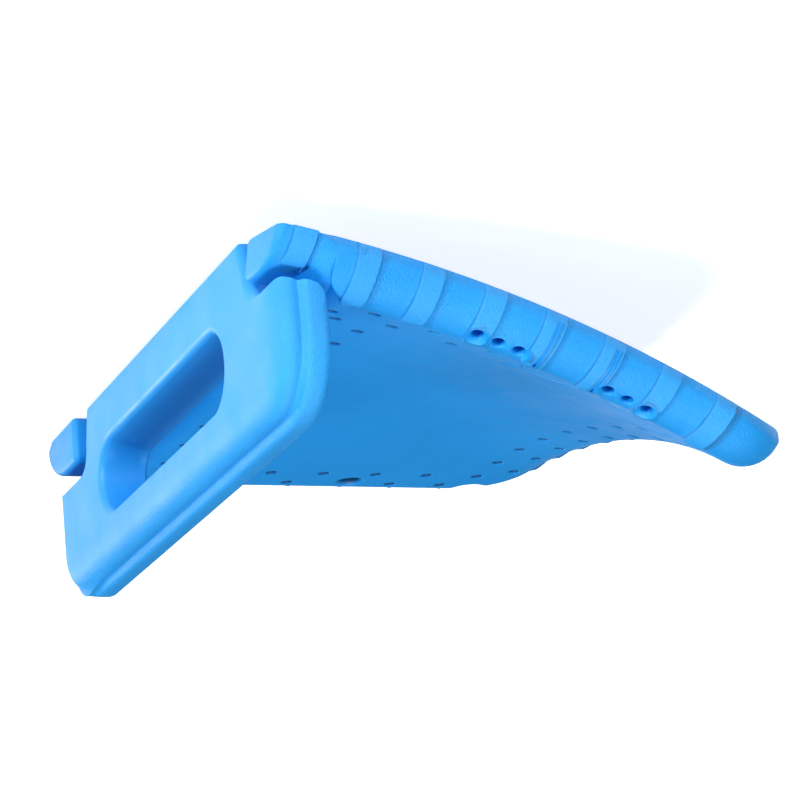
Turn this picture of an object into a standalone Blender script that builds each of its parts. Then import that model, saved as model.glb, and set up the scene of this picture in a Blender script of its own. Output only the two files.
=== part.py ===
"""Kids tablet case of soft foam, face down, with its carrying handle turned up at right angles.

The front rim lies on the floor. X points to the handle side, Y along the long side, Z out of the back.
The corner opposite the handle is peeled up, as a bend about a diagonal of the back plate.
Shapes are drawn from the middle of the tablet bay, and case_origin then centres the whole over the origin.
"""

import math

import bmesh
import bpy
from mathutils import Vector

mm = 0.001

# The tablet bay, sized for a 250.6 x 174.1 x 7.5 mm tablet.
bayHalfWidth = 87.4 * mm
bayHalfLength = 125.6 * mm
bayDepth = 7.9 * mm
bayCornerRadius = 9.0 * mm

# Walls of the moulding.
freeSideWall = 8.5 * mm
hingeSideWall = 6.0 * mm
endWall = 11.7 * mm
lipThickness = 3.8 * mm
lipOverlap = 5.0 * mm
backPlate = 8.3 * mm
caseCornerRadius = 33.0 * mm
hingeCornerRadius = 3.0 * mm
caseHeight = lipThickness + bayDepth + backPlate
backCurveInset = 14.0 * mm
backCurveHeight = 13.5 * mm
frontFacetInset = 3.2 * mm
frontFacetHeight = 3.6 * mm

# The bend that lifts the free corner.
bendHeading = math.radians(40.3)
bendRadius = 248.0 * mm
bendStart = 37.0 * mm
bendNeutralHeight = 7.3 * mm

# The two ears that hold the handle.
earLength = 31.0 * mm
earReach = 21.6 * mm
earHeight = 17.0 * mm
earFrontRadius = 3.0 * mm
earBackReach = 20.0 * mm
earBackRound = 14.0 * mm
earInnerRadius = 6.0 * mm
earEndRadius = 4.0 * mm
earRootDepth = 3.0 * mm

# The handle plate.
handleSideGap = 2.6 * mm
handleThickness = 18.0 * mm
handleFloorGap = 0.4 * mm
handleNearGap = 5.1 * mm
handleFarGap = 16.5 * mm
neckTaper = 3.0 * mm
handleNeckHeight = 28.2 * mm
handleNearInset = 7.3 * mm
handleFarInset = 2.8 * mm
handleHeight = 70.4 * mm
neckCornerRadius = 6.0 * mm
neckFilletRadius = 11.0 * mm
shoulderCornerRadius = 4.0 * mm
handleNearCorner = 27.0 * mm
handleFarCorner = 20.0 * mm
shoulderInset = 13.0 * mm
shoulderDepth = 9.0 * mm
neckEdge = 3.0 * mm
stepEdge = 4.0 * mm
innerEdge = 2.0 * mm
stepBackEdge = 3.8 * mm
neckBackEdge = 10.0 * mm
neckFlare = 0.6 * mm
flangeFlare = 1.5 * mm
gripLength = 145.0 * mm
gripHeight = 28.0 * mm
gripTop = 22.4 * mm
gripEdge = 3.0 * mm
gripBackEdge = 1.2 * mm
gripTaper = 4.5 * mm

# The hinge.
axisFromHandleFace = 6.6 * mm
axisHeight = 11.6 * mm
pinRadius = 2.0 * mm
pinFit = 0.3 * mm
sleeveWall = 1.7 * mm
sleeveLength = 24.0 * mm
pinInEar = 15.0 * mm
pinInSleeve = 22.0 * mm

# Raised ribs across the rim.
ribWidth = 8.2 * mm
ribRise = 0.9 * mm
ribEmbed = 1.6 * mm
ribPitch = 23.43 * mm
ribEndAngle = 112.0
ribLowEndAngle = 138.0

# Dimples in two staggered rows round the back.
dimplePitchShort = 23.5 * mm
dimplePitchLong = 24.5 * mm
dimpleRadius = 2.0 * mm
dimpleDepth = 0.9 * mm
dimpleOuterInset = 16.3 * mm
dimpleInnerInset = 29.5 * mm
dimpleFarShift = -7.0 * mm
cameraClear = 10.0 * mm
portHalfWidth = 12.0 * mm

# Openings through the moulding.
speakerRadius = 2.2 * mm
speakerFirst = 18.5 * mm
speakerPitch = 8.3 * mm
speakerInset = 5.4 * mm
speakerHeight = 18.2 * mm
cameraX = -11.0 * mm
cameraInset = 19.0 * mm
cameraRadius = 4.2 * mm
cameraBevel = 1.4 * mm
scoopX = -70.0 * mm
scoopHalfLength = 12.0 * mm
scoopRadius = 11.0 * mm
scoopDepth = 5.0 * mm

# Mesh density.
cellsAcross = 12
cellsAlong = 16
cornerSteps = 5
rimSteps = 5
dimpleSides = 6
roundSides = 20

freeX = -(bayHalfWidth + freeSideWall)
hingeX = bayHalfWidth + hingeSideWall
endY = bayHalfLength + endWall
handleInnerX = hingeX + handleSideGap
handleOuterX = handleInnerX + handleThickness
axisX = handleOuterX - axisFromHandleFace
earInnerY = endY - earLength
earEndX = hingeX + earReach
neckEndY = {-1: earInnerY - handleNearGap, 1: earInnerY - handleFarGap}
handleEndY = {-1: endY - handleNearInset, 1: endY - handleFarInset}
handleCorner = {-1: handleNearCorner, 1: handleFarCorner}
bayFloor = lipThickness + bayDepth
outlineMiddleX = (freeX + earEndX) / 2


def bend(point):
    """The place of a flat point (x, y, z) on the bent moulding."""
    x, y, z = point
    towardX = -math.sin(bendHeading)
    towardY = -math.cos(bendHeading)
    run = x * towardX + y * towardY + bendStart
    if run <= 0:
        return Vector((x, y, z))
    angle = run / bendRadius
    height = z - bendNeutralHeight
    newRun = (bendRadius - height) * math.sin(angle)
    newZ = bendNeutralHeight + bendRadius - (bendRadius - height) * math.cos(angle)
    shift = newRun - run
    return Vector((x + shift * towardX, y + shift * towardY, newZ))


def clearScene():
    for old in list(bpy.data.objects):
        bpy.data.objects.remove(old)


def material(name, colour, roughness, metallic=0.0):
    made = bpy.data.materials.new(name)
    made.use_nodes = True
    shader = made.node_tree.nodes["Principled BSDF"]
    shader.inputs["Base Color"].default_value = (*colour, 1.0)
    shader.inputs["Roughness"].default_value = roughness
    shader.inputs["Metallic"].default_value = metallic
    return made


def meshObject(name, bm, surface, smooth=True, origin=(0.0, 0.0, 0.0)):
    bmesh.ops.remove_doubles(bm, verts=bm.verts, dist=0.00001)
    bmesh.ops.recalc_face_normals(bm, faces=bm.faces)
    if bm.calc_volume(signed=True) < 0:
        bmesh.ops.reverse_faces(bm, faces=bm.faces)
    mesh = bpy.data.meshes.new(name)
    for vert in bm.verts:
        vert.co -= Vector(origin)
    bm.to_mesh(mesh)
    bm.free()
    for polygon in mesh.polygons:
        polygon.use_smooth = smooth
    made = bpy.data.objects.new(name, mesh)
    made.location = origin
    bpy.context.scene.collection.objects.link(made)
    if surface:
        mesh.materials.append(surface)
    return made


def helper(name, bm):
    bmesh.ops.triangulate(bm, faces=bm.faces)
    made = meshObject(name, bm, None, smooth=False)
    made.hide_render = True
    made.display_type = "WIRE"
    return made


def boolean(target, operation, helpers):
    """Joins or cuts with a group of helpers. Triangles first, since bent faces aren't flat."""
    group = bpy.data.collections.new(f"{target.name}_{operation.lower()}")
    bpy.context.scene.collection.children.link(group)
    for other in helpers:
        bpy.context.scene.collection.objects.unlink(other)
        group.objects.link(other)
    target.modifiers.new(f"flat_faces_{operation.lower()}", "TRIANGULATE")
    modifier = target.modifiers.new(group.name, "BOOLEAN")
    modifier.operation = operation
    modifier.solver = "MANIFOLD"
    modifier.operand_type = "COLLECTION"
    modifier.collection = group


def bridge(bm, loopA, loopB):
    count = len(loopA)
    for i in range(count):
        j = (i + 1) % count
        bm.faces.new([loopA[i], loopA[j], loopB[j], loopB[i]])


def loft(bm, loops):
    """A closed body through rings of equally many points."""
    rings = [[bm.verts.new(point) for point in loop] for loop in loops]
    for first, second in zip(rings, rings[1:]):
        bridge(bm, first, second)
    bm.faces.new(rings[0][::-1])
    bm.faces.new(rings[-1])


def arc(cx, cy, radiusX, radiusY, start, end, steps):
    points = []
    for i in range(steps + 1):
        angle = math.radians(start + (end - start) * i / steps)
        points.append((cx + radiusX * math.cos(angle), cy + radiusY * math.sin(angle)))
    return points


def frameLoop(x0, x1, y0, y1, radius, hingeRadius):
    """A rounded rectangle whose sides carry the grid's divisions. A zero radius keeps the point count."""
    corners = [
        (x1 - hingeRadius, y0 + hingeRadius, -90, hingeRadius),
        (x1 - hingeRadius, y1 - hingeRadius, 0, hingeRadius),
        (x0 + radius, y1 - radius, 90, radius),
        (x0 + radius, y0 + radius, 180, radius),
    ]
    divisions = [cellsAlong, cellsAcross, cellsAlong, cellsAcross]
    points = []
    for i, (cx, cy, start, size) in enumerate(corners):
        turn = arc(cx, cy, size, size, start, start + 90, cornerSteps)
        points.extend(turn)
        nx, ny, nextStart, nextSize = corners[(i + 1) % 4]
        end = arc(nx, ny, nextSize, nextSize, nextStart, nextStart + 90, 1)[0]
        for k in range(1, divisions[i]):
            t = k / divisions[i]
            points.append(tuple(Vector(turn[-1]).lerp(Vector(end), t)))
    return points


def bodyLoop(inset, radius, hingeRadius, z):
    """A ring at this inset from the moulding's outline."""
    flat = frameLoop(freeX + inset, hingeX - inset, -endY + inset, endY - inset, radius, hingeRadius)
    return [bend((x, y, z)) for x, y in flat]


def bayLoop(inset, radius, z):
    flat = frameLoop(
        -bayHalfWidth + inset,
        bayHalfWidth - inset,
        -bayHalfLength + inset,
        bayHalfLength - inset,
        radius,
        radius,
    )
    return [bend((x, y, z)) for x, y in flat]


def gridFill(bm, x0, x1, y0, y1, z):
    """A bent rectangle of cells, whose rim points match those of a frameLoop with no radius."""
    rows = []
    for j in range(cellsAlong + 1):
        y = y0 + (y1 - y0) * j / cellsAlong
        row = []
        for i in range(cellsAcross + 1):
            x = x0 + (x1 - x0) * i / cellsAcross
            row.append(bm.verts.new(bend((x, y, z))))
        rows.append(row)
    for j in range(cellsAlong):
        for i in range(cellsAcross):
            bm.faces.new([rows[j][i], rows[j][i + 1], rows[j + 1][i + 1], rows[j + 1][i]])


def rimProfile():
    """(inset, height) from the back plate round the side to the front face."""
    sideTop = caseHeight - backCurveHeight
    points = arc(backCurveInset, sideTop, backCurveInset, backCurveHeight, 90, 180, rimSteps)
    points.append((0.25 * frontFacetInset, 0.45 * frontFacetHeight))
    points.append((frontFacetInset, 0.0))
    return points


def bodyMesh():
    bm = bmesh.new()
    rings = []
    gridInset = 2 * backCurveInset
    rings.append(bodyLoop(gridInset, 0.0, 0.0, caseHeight))
    for inset, z in rimProfile():
        radius = max(caseCornerRadius - inset, hingeCornerRadius)
        rings.append(bodyLoop(inset, radius, hingeCornerRadius, z))
    opening = lipOverlap
    openingRadius = bayCornerRadius - 2 * mm
    rings.append(bayLoop(opening - 0.8 * mm, openingRadius, 0.0))
    rings.append(bayLoop(opening, openingRadius, 0.9 * mm))
    rings.append(bayLoop(opening, openingRadius, lipThickness))
    rings.append(bayLoop(0.0, bayCornerRadius, lipThickness))
    rings.append(bayLoop(0.0, bayCornerRadius, bayFloor))
    bayGridInset = bayCornerRadius
    rings.append(bayLoop(bayGridInset, 0.0, bayFloor))
    loops = [[bm.verts.new(point) for point in ring] for ring in rings]
    for first, second in zip(loops, loops[1:]):
        bridge(bm, first, second)
    gridFill(bm, freeX + gridInset, hingeX - gridInset, -endY + gridInset, endY - gridInset, caseHeight)
    gridFill(
        bm,
        -bayHalfWidth + bayGridInset,
        bayHalfWidth - bayGridInset,
        -bayHalfLength + bayGridInset,
        bayHalfLength - bayGridInset,
        bayFloor,
    )
    bmesh.ops.remove_doubles(bm, verts=bm.verts, dist=0.00001)
    bmesh.ops.dissolve_degenerate(bm, edges=bm.edges, dist=0.00001)
    return bm


def earProfile(side, inset):
    """The ear's outline in (y, z), seen along X, drawn in by inset."""
    outer = endY - inset
    inner = earInnerY + inset
    low = inset
    high = earHeight - inset
    radii = [earFrontRadius, earBackReach, earBackRound, earInnerRadius]
    radii = [max(radius - inset, 0.8 * mm) for radius in radii]
    front, reach, rise, back = radii
    points = []
    points += arc(outer - front, low + front, front, front, -90, 0, 3)
    points += arc(outer - reach, high - rise, reach, rise, 0, 90, 6)
    points += arc(inner + back, high - back, back, back, 90, 180, 4)
    points += arc(inner + front, low + front, front, front, 180, 270, 3)
    return [(side * y, z) for y, z in points]


def earMesh(side):
    bm = bmesh.new()
    rootX = hingeX - earRootDepth
    tipX = earEndX - earEndRadius
    stations = [(rootX + share * (tipX - rootX), 0.0) for share in (0.0, 0.4, 0.7, 1.0)]
    for degrees in (25, 50, 70):
        angle = math.radians(degrees)
        stations.append((tipX + earEndRadius * math.sin(angle), earEndRadius * (1 - math.cos(angle))))
    loops = []
    for x, inset in stations:
        loops.append([bend((x, y, z)) for y, z in earProfile(side, inset)])
    loft(bm, loops)
    return bm


def ribPath(curveInset, curveHeight, height, endAngle):
    """(inset, height, outward inset, outward height) along the rim, from the front facet to the back."""
    kept = [
        (0.7 * frontFacetInset, ribRise + 0.12 * frontFacetHeight),
        (0.0, ribRise + 0.7 * frontFacetHeight),
    ]
    kept += arc(curveInset, height - curveHeight, curveInset, curveHeight, 174, endAngle, 5)
    path = []
    for i, (inset, z) in enumerate(kept):
        before = kept[max(i - 1, 0)]
        after = kept[min(i + 1, len(kept) - 1)]
        along = Vector((after[0] - before[0], after[1] - before[1])).normalized()
        path.append((inset, z, -along.y, along.x))
    return path


def ribMesh(bm, place, path):
    """One rib. place turns (across, inset, height) into a flat point."""
    loops = []
    count = len(path)
    for i, (inset, z, outX, outZ) in enumerate(path):
        left = (count - 1 - i) / 2.2
        half = ribWidth / 2 * math.sqrt(1 - max(0.0, 1 - left) ** 2) if left < 1 else ribWidth / 2
        half = max(half, 0.3 * ribWidth)
        ring = []
        for across, rise in ((-1.0, -ribEmbed), (-0.94, ribRise), (0.94, ribRise), (1.0, -ribEmbed)):
            ring.append(bend(place(across * half, inset + outX * rise, z + outZ * rise)))
        loops.append(ring)
    loft(bm, loops)


def ribsMesh():
    bm = bmesh.new()
    nearPath = ribPath(backCurveInset, backCurveHeight, caseHeight, ribEndAngle)
    lowPath = ribPath(backCurveInset, backCurveHeight, caseHeight, ribLowEndAngle)
    earPath = ribPath(earBackReach, earBackRound, earHeight, ribLowEndAngle)
    for side in (-1, 1):
        for k in range(-3, 5):
            x = (k + 0.5) * ribPitch

            def shortSide(across, inset, z, x=x, side=side):
                return (x + across, side * (endY - inset), z)

            path = nearPath if side < 0 else lowPath
            ribMesh(bm, shortSide, earPath if x > hingeX else path)
    for k in range(-4, 5):
        y = k * dimplePitchLong

        def longSide(across, inset, z, y=y):
            return (freeX + inset, y + across, z)

        ribMesh(bm, longSide, lowPath)
    return bm


def dimplePlaces():
    places = []
    outerX = (freeX + dimpleOuterInset, hingeX - dimpleOuterInset)
    innerX = (freeX + dimpleInnerInset, hingeX - dimpleInnerInset)
    for k in range(-3, 4):
        x = k * dimplePitchShort
        if abs(x) > portHalfWidth:
            places.append((x, dimpleOuterInset - endY))
        if abs(x + dimpleFarShift - cameraX) > cameraClear:
            places.append((x + dimpleFarShift, endY - dimpleOuterInset))
        x = (k + 0.5) * dimplePitchShort
        places.append((x, dimpleInnerInset - endY))
        places.append((x + dimpleFarShift, endY - dimpleInnerInset))
    for x in outerX:
        for k in range(-4, 5):
            places.append((x, k * dimplePitchLong))
    for x in innerX:
        for k in range(-4, 4):
            places.append((x, (k + 0.5) * dimplePitchLong))
    return places


def dimpleCutter():
    bm = bmesh.new()
    for x, y in dimplePlaces():
        loops = []
        for radius, z in (
            (0.6 * dimpleRadius, caseHeight - dimpleDepth),
            (1.3 * dimpleRadius, caseHeight + 0.75 * dimpleDepth),
        ):
            ring = arc(x, y, radius, radius, 0, 360, dimpleSides)[:-1]
            loops.append([bend((px, py, z)) for px, py in ring])
        loft(bm, loops)
    return bm


def tube(bm, start, end, radiusStart, radiusEnd, sides=12):
    """A straight round body between two points."""
    axis = (end - start).normalized()
    across = axis.orthogonal().normalized()
    other = axis.cross(across)
    loops = []
    for point, radius in ((start, radiusStart), (end, radiusEnd)):
        ring = arc(0, 0, radius, radius, 0, 360, sides)[:-1]
        loops.append([point + across * x + other * y for x, y in ring])
    loft(bm, loops)


def openingCutter():
    bm = bmesh.new()
    for side in (-1, 1):
        for k in range(3):
            x = side * (speakerFirst + k * speakerPitch)
            inside = bend((x, -bayHalfLength + 1.5 * mm, lipThickness + 0.5 * bayDepth))
            outside = bend((x, -endY + speakerInset, speakerHeight))
            reach = (outside - inside).normalized() * (3.0 * mm)
            tube(bm, inside, outside + reach, speakerRadius, speakerRadius)
    y = endY - cameraInset
    loops = []
    for radius, z in (
        (cameraRadius, bayFloor - 2 * mm),
        (cameraRadius, caseHeight - cameraBevel),
        (cameraRadius + cameraBevel + 1 * mm, caseHeight + 1 * mm),
    ):
        ring = arc(cameraX, y, radius, radius, 0, 360, roundSides)[:-1]
        loops.append([bend((px, py, z)) for px, py in ring])
    loft(bm, loops)
    return bm


def scoopCutter():
    """A shallow rounded recess in the far side, over the tablet's button."""
    bm = bmesh.new()
    centreY = endY + scoopRadius - scoopDepth
    centreZ = caseHeight - 0.35 * backCurveHeight
    loops = []
    for degrees in (-80, -50, -20, 20, 50, 80):
        angle = math.radians(degrees)
        x = scoopX + scoopHalfLength * math.sin(angle)
        radius = scoopRadius - scoopDepth * (1 - math.cos(angle))
        ring = arc(centreY, centreZ, radius, 1.5 * radius, 0, 360, 16)[:-1]
        loops.append([bend((x, py, pz)) for py, pz in ring])
    loft(bm, loops)
    return bm


def boreMesh(radius, side, nearY, farY):
    bm = bmesh.new()
    tube(
        bm,
        Vector((axisX, side * nearY, axisHeight)),
        Vector((axisX, side * farY, axisHeight)),
        radius,
        radius,
        roundSides,
    )
    return bm


def outlineRun(points, edge):
    return [(y, z, edge) for y, z in points]


def halfOutline(side):
    """Half of the handle's outline in (y, z, edge), from its lower middle to its upper middle.

    Each edge is (inset, depth, back edge, flare): the rounding of the outer face, that of the inner face,
    and how far the part behind the outer rounding stands out.
    """
    neckEnd = neckEndY[side]
    outerEnd = handleEndY[side]
    top = handleFloorGap
    step = top + handleNeckHeight
    bottom = top + handleHeight
    neck = (neckEdge, neckEdge, innerEdge, neckFlare)
    neckTop = (neckEdge, neckEdge, neckBackEdge, neckFlare)
    stepRun = (stepEdge, stepEdge, stepBackEdge, neckFlare)
    shoulder = (shoulderInset, shoulderDepth, innerEdge, flangeFlare)
    half = []
    half += outlineRun([(0.0, top), (neckEnd - 3.0 * neckCornerRadius, top)], neckTop)
    size = neckCornerRadius
    corner = arc(neckEnd - neckTaper - size, top + size, size, size, -90, 0, 4)
    for i, (y, z) in enumerate(corner):
        share = 1 - i / 4
        back = innerEdge + share * (neckBackEdge - innerEdge)
        half.append((y, z, (neckEdge, neckEdge, min(back, neckCornerRadius), neckFlare)))
    size = neckFilletRadius
    fillet = arc(neckEnd + size, step - size, size, size, 180, 90, 5)
    half += outlineRun(fillet[:3], neck)
    half += outlineRun(fillet[3:], stepRun)
    size = shoulderCornerRadius
    half += outlineRun(arc(outerEnd - size, step + size, size, size, -90, -30, 2), stepRun)
    half += outlineRun([(outerEnd, step + size)], (size, 0.6 * shoulderDepth, innerEdge, neckFlare))
    turn = (0.8 * shoulderInset, shoulderDepth, innerEdge, flangeFlare)
    half += outlineRun([(outerEnd, step + shoulderInset)], turn)
    size = handleCorner[side]
    half += outlineRun(arc(outerEnd - size, bottom - size, size, size, 0, 90, 9), shoulder)
    half += outlineRun([(0.0, bottom)], shoulder)
    return half


def handleOutline():
    """The far half, then the near half backwards. The neck is shorter at its far end."""
    far = halfOutline(1)
    near = halfOutline(-1)
    return far + [(-y, z, edge) for y, z, edge in near[-2:0:-1]]


def outwardNormals(points):
    """Unit normals of a closed outline that runs from +Y round to -Y."""
    count = len(points)
    normals = []
    for i in range(count):
        before = points[i - 1]
        after = points[(i + 1) % count]
        here = points[i]
        first = Vector((here[0] - before[0], here[1] - before[1])).normalized()
        second = Vector((after[0] - here[0], after[1] - here[1])).normalized()
        along = (first + second).normalized()
        stretch = 1 / max(along.dot(second), 0.7)
        normals.append(Vector((along.y, -along.x)) * stretch)
    return normals


def handleMesh():
    outline = handleOutline()
    normals = outwardNormals(outline)

    def ring(choose):
        points = []
        for (y, z, edge), normal in zip(outline, normals):
            inset, x = choose(edge)
            points.append(Vector((x, y - normal.x * inset, z - normal.y * inset)))
        return points

    loops = []
    for degrees in (0, 22, 45, 68, 90):
        turn = math.radians(degrees)
        loops.append(
            ring(
                lambda edge, turn=turn: (
                    edge[3] + (edge[0] - edge[3]) * (1 - math.sin(turn)),
                    handleOuterX - edge[1] * (1 - math.cos(turn)),
                )
            )
        )
    loops.append(ring(lambda edge: (0.0, handleOuterX - edge[1] - 0.4 * edge[3])))
    for degrees in (0, 30, 60, 90):
        turn = math.radians(degrees)
        loops.append(
            ring(
                lambda edge, turn=turn: (
                    edge[2] * (1 - math.cos(turn)),
                    handleInnerX + edge[2] * (1 - math.sin(turn)),
                )
            )
        )
    bm = bmesh.new()
    loft(bm, loops)
    return bm


def gripCutter():
    """The hand slot. It narrows towards the inner face and has a rounded edge at both."""
    stations = [(handleOuterX + 2 * mm, gripEdge)]
    for degrees in (10, 35, 60, 90):
        turn = math.radians(degrees)
        stations.append((handleOuterX - gripEdge * (1 - math.cos(turn)), gripEdge * (1 - math.sin(turn))))
    for degrees in (90, 60, 35, 10):
        turn = math.radians(degrees)
        grow = gripBackEdge * (1 - math.sin(turn)) - gripTaper
        stations.append((handleInnerX + gripBackEdge * (1 - math.cos(turn)), grow))
    stations.append((handleInnerX - 2 * mm, gripBackEdge - gripTaper))
    radius = gripHeight / 2
    centreZ = gripTop + radius
    centreY = gripLength / 2 - radius
    bm = bmesh.new()
    loops = []
    for x, grow in stations:
        ring = arc(centreY, centreZ, radius + grow, radius + grow, -90, 90, 8)
        ring += arc(-centreY, centreZ, radius + grow, radius + grow, 90, 270, 8)
        loops.append([Vector((x, y, z)) for y, z in ring])
    loft(bm, loops)
    return bm


def sleeveMesh(side):
    """A plain bush, round the pin and inside the handle."""
    innerRadius = pinRadius + pinFit
    outerRadius = innerRadius + sleeveWall
    nearY = neckEndY[side] - pinFit
    farY = nearY - sleeveLength
    bm = bmesh.new()
    stations = [(innerRadius, farY), (outerRadius, farY), (outerRadius, nearY), (innerRadius, nearY)]
    rings = []
    for radius, y in stations:
        ring = arc(axisX, axisHeight, radius, radius, 0, 360, roundSides)[:-1]
        rings.append([bm.verts.new((x, side * y, z)) for x, z in ring])
    for i in range(4):
        bridge(bm, rings[i], rings[(i + 1) % 4])
    return bm


def parentToOrigin():
    """One empty carries every piece and helper, so that the outline's middle lies over the origin."""
    pieces = list(bpy.data.objects)
    centre = bpy.data.objects.new("case_origin", None)
    centre.location = (-outlineMiddleX, 0.0, 0.0)
    bpy.context.scene.collection.objects.link(centre)
    for piece in pieces:
        piece.parent = centre


def main():
    clearScene()
    foam = material("blue closed-cell foam", (0.03, 0.36, 0.85), 0.75)
    handleFoam = material("blue closed-cell foam of the handle", (0.04, 0.40, 0.88), 0.75)
    pinSteel = material("steel hinge pin", (0.55, 0.56, 0.58), 0.3, 1.0)
    sleeveNylon = material("white nylon sleeve", (0.82, 0.82, 0.80), 0.45)

    caseBody = meshObject("case_body", bodyMesh(), foam)
    pivot = (axisX, 0.0, axisHeight)
    handle = meshObject("handle", handleMesh(), handleFoam, origin=pivot)
    raised = [helper("rib_shapes", ribsMesh())]
    cuts = [
        helper("dimple_cutter", dimpleCutter()),
        helper("opening_cutter", openingCutter()),
        helper("scoop_cutter", scoopCutter()),
    ]
    handleCuts = [helper("grip_cutter", gripCutter())]
    for name, side in (("near", -1), ("far", 1)):
        raised.append(helper(f"ear_shape_{name}", earMesh(side)))
        earBore = boreMesh(pinRadius + pinFit, side, earInnerY - 6 * mm, earInnerY + pinInEar + pinFit)
        cuts.append(helper(f"ear_bore_{name}", earBore))
        sleeveSeat = boreMesh(
            pinRadius + 2 * pinFit + sleeveWall,
            side,
            neckEndY[side] - sleeveLength - 2 * pinFit,
            neckEndY[side] + 6 * mm,
        )
        handleCuts.append(helper(f"sleeve_seat_{name}", sleeveSeat))
        pin = boreMesh(pinRadius, side, neckEndY[side] - pinInSleeve, earInnerY + pinInEar)
        meshObject(f"hinge_pin_{name}", pin, pinSteel, origin=(axisX, side * earInnerY, axisHeight))
        meshObject(
            f"hinge_sleeve_{name}",
            sleeveMesh(side),
            sleeveNylon,
            origin=(axisX, side * neckEndY[side], axisHeight),
        )
    boolean(caseBody, "UNION", raised)
    boolean(caseBody, "DIFFERENCE", cuts)
    boolean(handle, "DIFFERENCE", handleCuts)
    parentToOrigin()


main()
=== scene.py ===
import math

import bmesh
import bpy
from mathutils import Matrix, Vector


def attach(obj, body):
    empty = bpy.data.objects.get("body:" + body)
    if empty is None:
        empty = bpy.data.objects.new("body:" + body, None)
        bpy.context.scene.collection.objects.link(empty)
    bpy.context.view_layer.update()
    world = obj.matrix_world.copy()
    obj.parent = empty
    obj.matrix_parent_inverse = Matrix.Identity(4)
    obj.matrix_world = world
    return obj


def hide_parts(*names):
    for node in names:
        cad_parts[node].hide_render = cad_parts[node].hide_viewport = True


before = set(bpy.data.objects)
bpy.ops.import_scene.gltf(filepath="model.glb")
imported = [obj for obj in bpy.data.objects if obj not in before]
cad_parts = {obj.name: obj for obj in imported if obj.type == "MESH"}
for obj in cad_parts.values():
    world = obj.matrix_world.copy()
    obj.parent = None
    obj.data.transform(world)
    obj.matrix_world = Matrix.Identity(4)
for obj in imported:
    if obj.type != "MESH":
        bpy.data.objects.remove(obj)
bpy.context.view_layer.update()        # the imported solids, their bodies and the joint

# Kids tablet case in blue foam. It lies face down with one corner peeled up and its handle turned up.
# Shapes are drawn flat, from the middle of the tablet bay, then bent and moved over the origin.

mm = 0.001
print("frame loaded")


def linear(hexColour):
    # sRGB hex such as "2A9BE8" to the linear colour that a shader takes
    channels = [int(hexColour[i:i + 2], 16) / 255 for i in (0, 2, 4)]
    return (*[c / 12.92 if c <= 0.04045 else ((c + 0.055) / 1.055) ** 2.4 for c in channels], 1.0)


def addNode(tree, kind, settings, inputs):
    # inputs holds values, sockets or nodes by socket name or index; a node stands for its first output
    node = tree.nodes.new(kind)
    for name, value in settings.items():
        setattr(node, name, value)
    for key, value in inputs.items():
        if isinstance(value, bpy.types.Node):
            value = value.outputs[0]
        if isinstance(value, bpy.types.NodeSocket):
            tree.links.new(value, node.inputs[key])
        else:
            node.inputs[key].default_value = value
    return node


# short names for the kinds of nodes, and their settings, that come up often
calc, vectorCalc, remap = "ShaderNodeMath", "ShaderNodeVectorMath", "ShaderNodeMapRange"
plus, minus, times, divided, scaled, greater, less, largest, smallest = [
    {"operation": name} for name in ("ADD", "SUBTRACT", "MULTIPLY", "DIVIDE", "SCALE")
    + ("GREATER_THAN", "LESS_THAN", "MAXIMUM", "MINIMUM")
]
softRange = {"interpolation_type": "SMOOTHSTEP"}
noise, bump = "ShaderNodeTexNoise", "ShaderNodeBump"
colourMix, colours = "ShaderNodeMix", {"data_type": "RGBA"}
joined, parted = "ShaderNodeCombineXYZ", "ShaderNodeSeparateXYZ"


def smoothstep(low, high, value):
    t = min(max((value - low) / (high - low), 0.0), 1.0)
    return t * t * (3 - 2 * t)


# ---- geometry node trees


def startTree(name, sizes):
    tree = bpy.data.node_groups.new(name, "GeometryNodeTree")
    tree.interface.new_socket("Geometry", in_out="INPUT", socket_type="NodeSocketGeometry")
    for label, kind in sizes.items():
        tree.interface.new_socket(label, in_out="INPUT", socket_type=kind)
    tree.interface.new_socket("Finish", in_out="INPUT", socket_type="NodeSocketMaterial")
    tree.interface.new_socket("Geometry", in_out="OUTPUT", socket_type="NodeSocketGeometry")
    return tree, tree.nodes.new("NodeGroupInput")


def endTree(tree, given, geometry):
    whole = addNode(tree, "GeometryNodeRealizeInstances", {}, {"Geometry": geometry})
    finish = given.outputs["Finish"]
    coated = addNode(tree, "GeometryNodeSetMaterial", {}, {"Geometry": whole, "Material": finish})
    addNode(tree, "NodeGroupOutput", {}, {"Geometry": coated})
    return tree


def useTree(piece, tree, values):
    modifier = piece.modifiers.new(tree.name, "NODES")
    modifier.node_group = tree
    for item in tree.interface.items_tree:
        if item.in_out == "INPUT" and item.name in values:
            modifier[item.identifier] = values[item.name]
    return modifier


skin = {
    "bayInset": 8.0 * mm,                 # deeper in than this and lower than bayHeight lies the bay
    "bayHeight": 12.5 * mm,
    "ribFoot": 0.7 * mm,                  # the ribs fade in over this height above the front
    "grainInset": (9.0 * mm, 15.0 * mm),  # strong grain on the rim gives way to faint grain on the back
    "backGrain": 0.2,
}


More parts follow.
